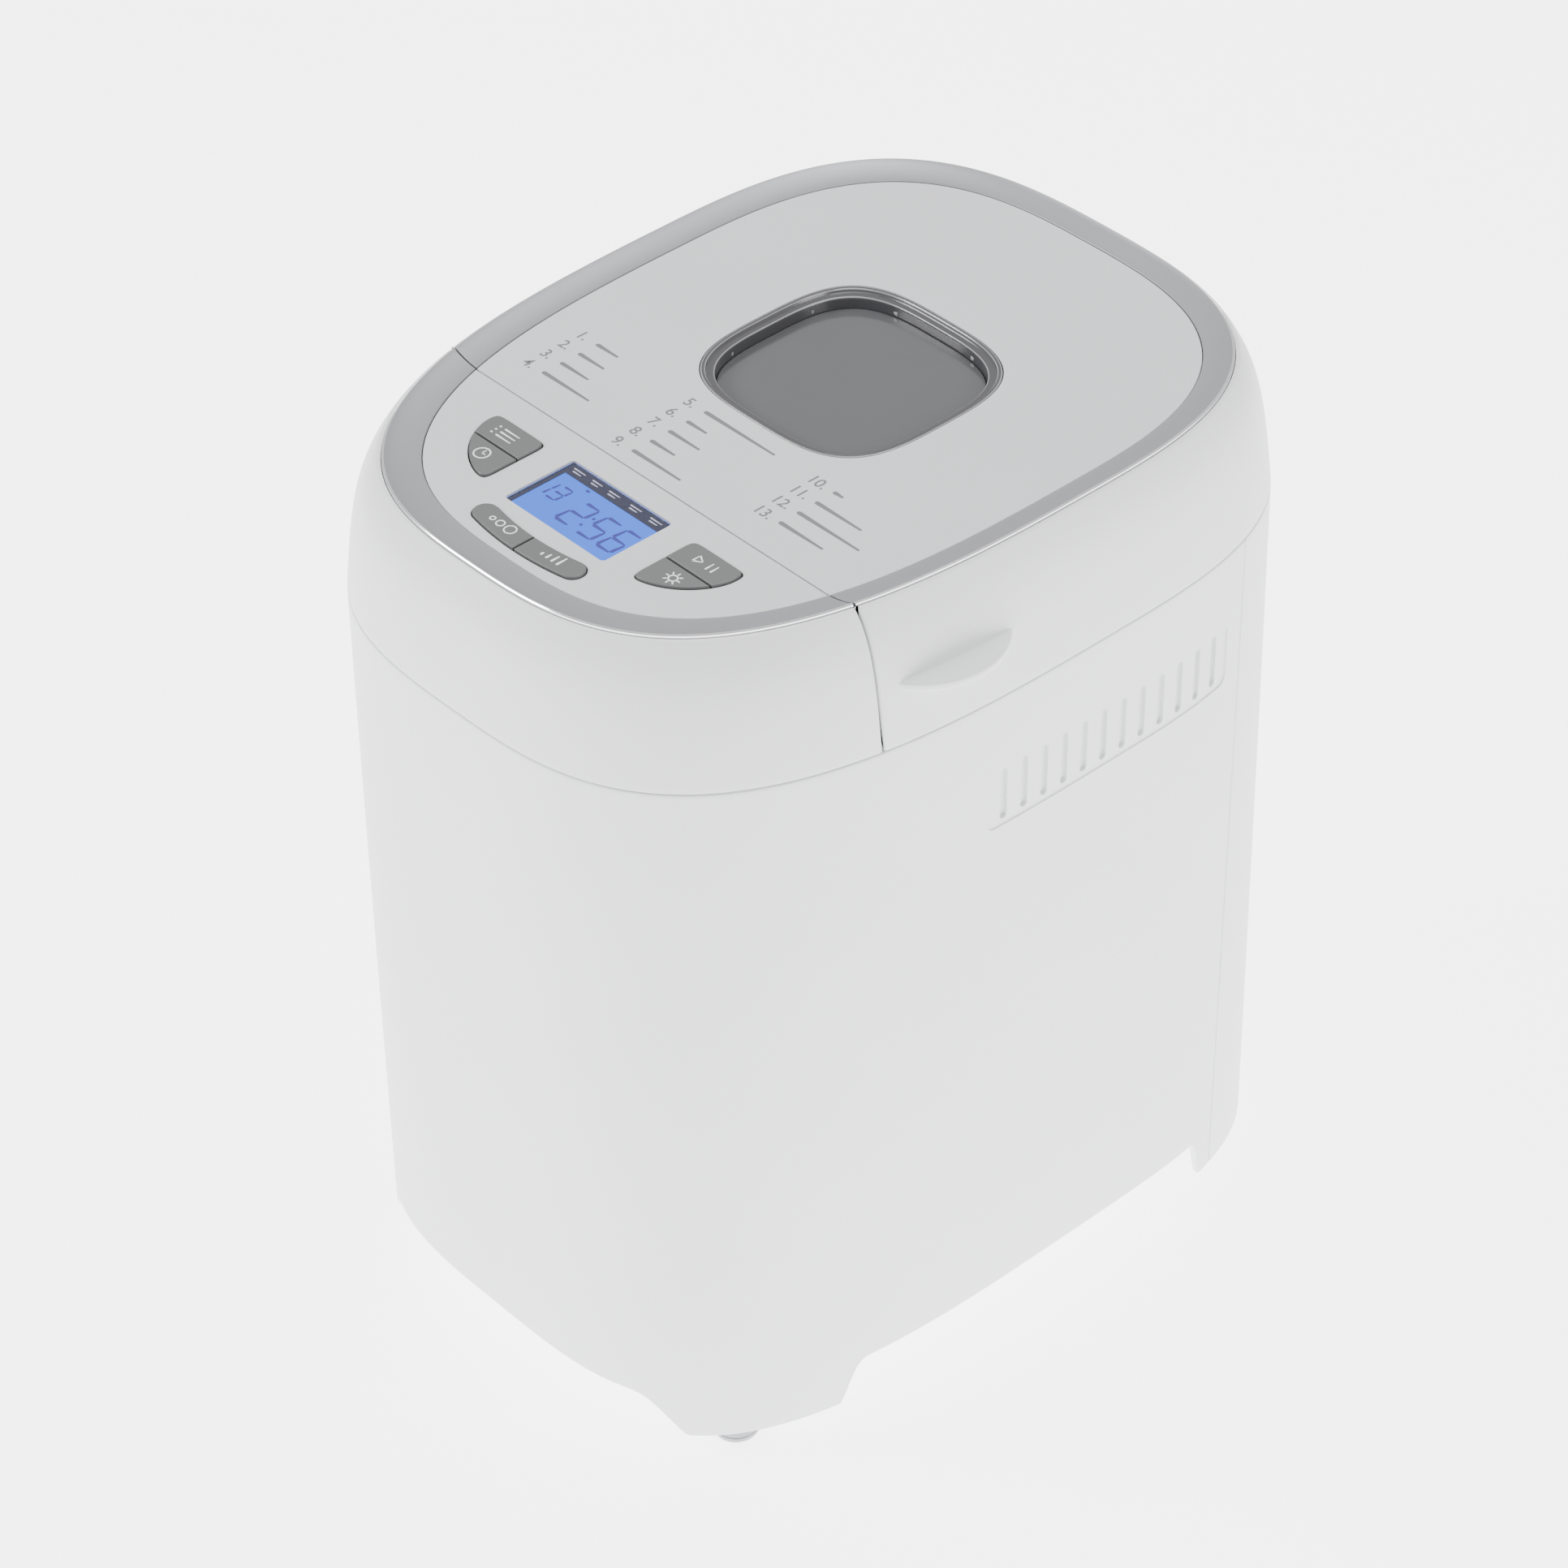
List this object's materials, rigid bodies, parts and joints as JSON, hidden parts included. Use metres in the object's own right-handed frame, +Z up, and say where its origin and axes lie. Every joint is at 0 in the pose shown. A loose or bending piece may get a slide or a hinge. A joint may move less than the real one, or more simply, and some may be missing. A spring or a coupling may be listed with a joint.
{
  "type": "bread machine",
  "caption": "Upright white household bread machine: rounded casing on short legs, hinged lid with window and silver trim ring, control panel in front, bread pan with paddle inside.",
  "frame": {"origin": "on the surface it stands on, below the middle of its overall length and width", "axes": "+Z up, +X to the right seen from the front, front (controls) towards -Y"},
  "size_m": [0.2333, 0.295, 0.3265],
  "materials": {
    "white_plastic": "fine satin, white",
    "base_plastic": "plain white, moulded",
    "white_panel": "semi-gloss, cool white",
    "silver_trim": "satin silver with a bright outer edge",
    "grey_key": "soft-touch grey",
    "display_clear": "clear lens over a blue backlight",
    "display_screen": "blue backlit display",
    "window_plastic": "dark grey, polished edge",
    "smoked_glass": "smoked",
    "clear_glass": "clear",
    "liner_steel": "plain sheet",
    "heater_steel": "oxidised, dark",
    "zinc_steel": "zinc plated",
    "screw_steel": "zinc plated",
    "shaft_steel": "ground",
    "bronze": "sintered, oiled",
    "black_rubber": "matt black",
    "foot_rubber": "grey, slightly clear",
    "pan_coating": "dark non-stick coating",
    "bail_steel": "polished wire",
    "coupler_metal": "die cast",
    "pulley_plastic": "moulded black",
    "motor_steel": "dark lacquer",
    "board_green": "green lacquered board",
    "component_black": "moulded black"
  },
  "bodies": {
    "base": {"base_plate": "base_plastic", "bearing_bush": "bronze", "board_components": "component_black", "board_foot": "component_black", "board_pegs": "base_plastic", "chamber": "liner_steel", "chamber_standoffs": "zinc_steel", "control_board": "board_green", "control_housing": "white_plastic", "control_panel": "white_panel", "control_trim": "silver_trim", "cord_gland": "black_rubber", "display_lens": "display_clear", "drive_belt": "black_rubber", "drive_frame": "zinc_steel", "element_clips": "zinc_steel", "element_terminals": "zinc_steel", "frame_posts": "zinc_steel", "frame_screws": "screw_steel", "heating_element": "heater_steel", "hinge_pins": "screw_steel", "housing": "white_plastic", "lcd_module": "display_screen", "motor_can": "motor_steel", "pan_seat": "liner_steel", "power_board": "board_green", "rear_cover": "white_plastic", "rubber_feet": "foot_rubber", "tact_switches": "component_black", "temperature_sensor": "shaft_steel", "thermal_fuse": "zinc_steel", "top_deck": "base_plastic"},
    "lid": {"lid_shell": "white_plastic", "lid_trim": "silver_trim", "lid_panel": "white_panel", "window_frame": "window_plastic", "window_glass": "smoked_glass", "inner_glass": "clear_glass", "lid_liner": "liner_steel", "lid_posts": "base_plastic", "lid_screws": "screw_steel"},
    "pan": {"bread_pan": "pan_coating", "pan_bush": "bronze", "shaft_seal": "black_rubber", "handle_rivets": "screw_steel"},
    "pan_bail": {"pan_handle": "bail_steel"},
    "paddle": {"pan_shaft": "shaft_steel", "pan_coupler": "coupler_metal", "kneading_paddle": "pan_coating"},
    "drive": {"drive_coupler": "coupler_metal", "drive_shaft": "shaft_steel", "driven_pulley": "pulley_plastic"},
    "motor_rotor": {"motor_shaft": "shaft_steel", "motor_pulley": "pulley_plastic"},
    "menu_button": {"menu_button": "grey_key"},
    "time_button": {"time_button": "grey_key"},
    "start_button": {"start_button": "grey_key"},
    "setting_button": {"setting_button": "grey_key"},
    "size_button": {"size_button": "grey_key"},
    "browning_button": {"browning_button": "grey_key"}
  },
  "joints": [
    {"name": "lid_hinge", "type": "hinge", "parent": "base", "child": "lid", "pos_m": [0, 0.1446, 0.2745], "axis": [-1, 0, 0], "range_deg": [0, 95]},
    {"name": "pan_lift", "type": "slide", "parent": "base", "child": "pan", "axis": [0, 0, 1], "range_m": [0, 0.02]},
    {"name": "handle_swing", "type": "hinge", "parent": "pan", "child": "pan_bail", "pos_m": [0, 0.0327, 0.241], "axis": [1, 0, 0], "range_deg": [0, 180]},
    {"name": "drive_spin", "type": "hinge", "parent": "base", "child": "drive", "pos_m": [0, 0.0327, 0.06], "axis": [0, 0, 1], "continuous": true},
    {"name": "motor_spin", "type": "hinge", "parent": "base", "child": "motor_rotor", "pos_m": [0, -0.1035, 0.06], "axis": [0, 0, 1], "continuous": true},
    {"name": "paddle_spin", "type": "hinge", "parent": "pan", "child": "paddle", "pos_m": [0, 0.0327, 0.11], "axis": [0, 0, 1], "continuous": true},
    {"name": "menu_press", "type": "slide", "parent": "base", "child": "menu_button", "axis": [0, 0, -1], "range_m": [0, 0.001], "stiffness_N_per_m": 600, "springref_m": -0.0008},
    {"name": "time_press", "type": "slide", "parent": "base", "child": "time_button", "axis": [0, 0, -1], "range_m": [0, 0.001], "stiffness_N_per_m": 600, "springref_m": -0.0008},
    {"name": "start_press", "type": "slide", "parent": "base", "child": "start_button", "axis": [0, 0, -1], "range_m": [0, 0.001], "stiffness_N_per_m": 600, "springref_m": -0.0008},
    {"name": "setting_press", "type": "slide", "parent": "base", "child": "setting_button", "axis": [0, 0, -1], "range_m": [0, 0.001], "stiffness_N_per_m": 600, "springref_m": -0.0008},
    {"name": "size_press", "type": "slide", "parent": "base", "child": "size_button", "axis": [0, 0, -1], "range_m": [0, 0.001], "stiffness_N_per_m": 600, "springref_m": -0.0008},
    {"name": "browning_press", "type": "slide", "parent": "base", "child": "browning_button", "axis": [0, 0, -1], "range_m": [0, 0.001], "stiffness_N_per_m": 600, "springref_m": -0.0008}
  ],
  "couplings": [
    {"joint": "motor_spin", "follows": "drive_spin", "ratio": 4.6},
    {"joint": "paddle_spin", "follows": "drive_spin", "ratio": 1}
  ]
}
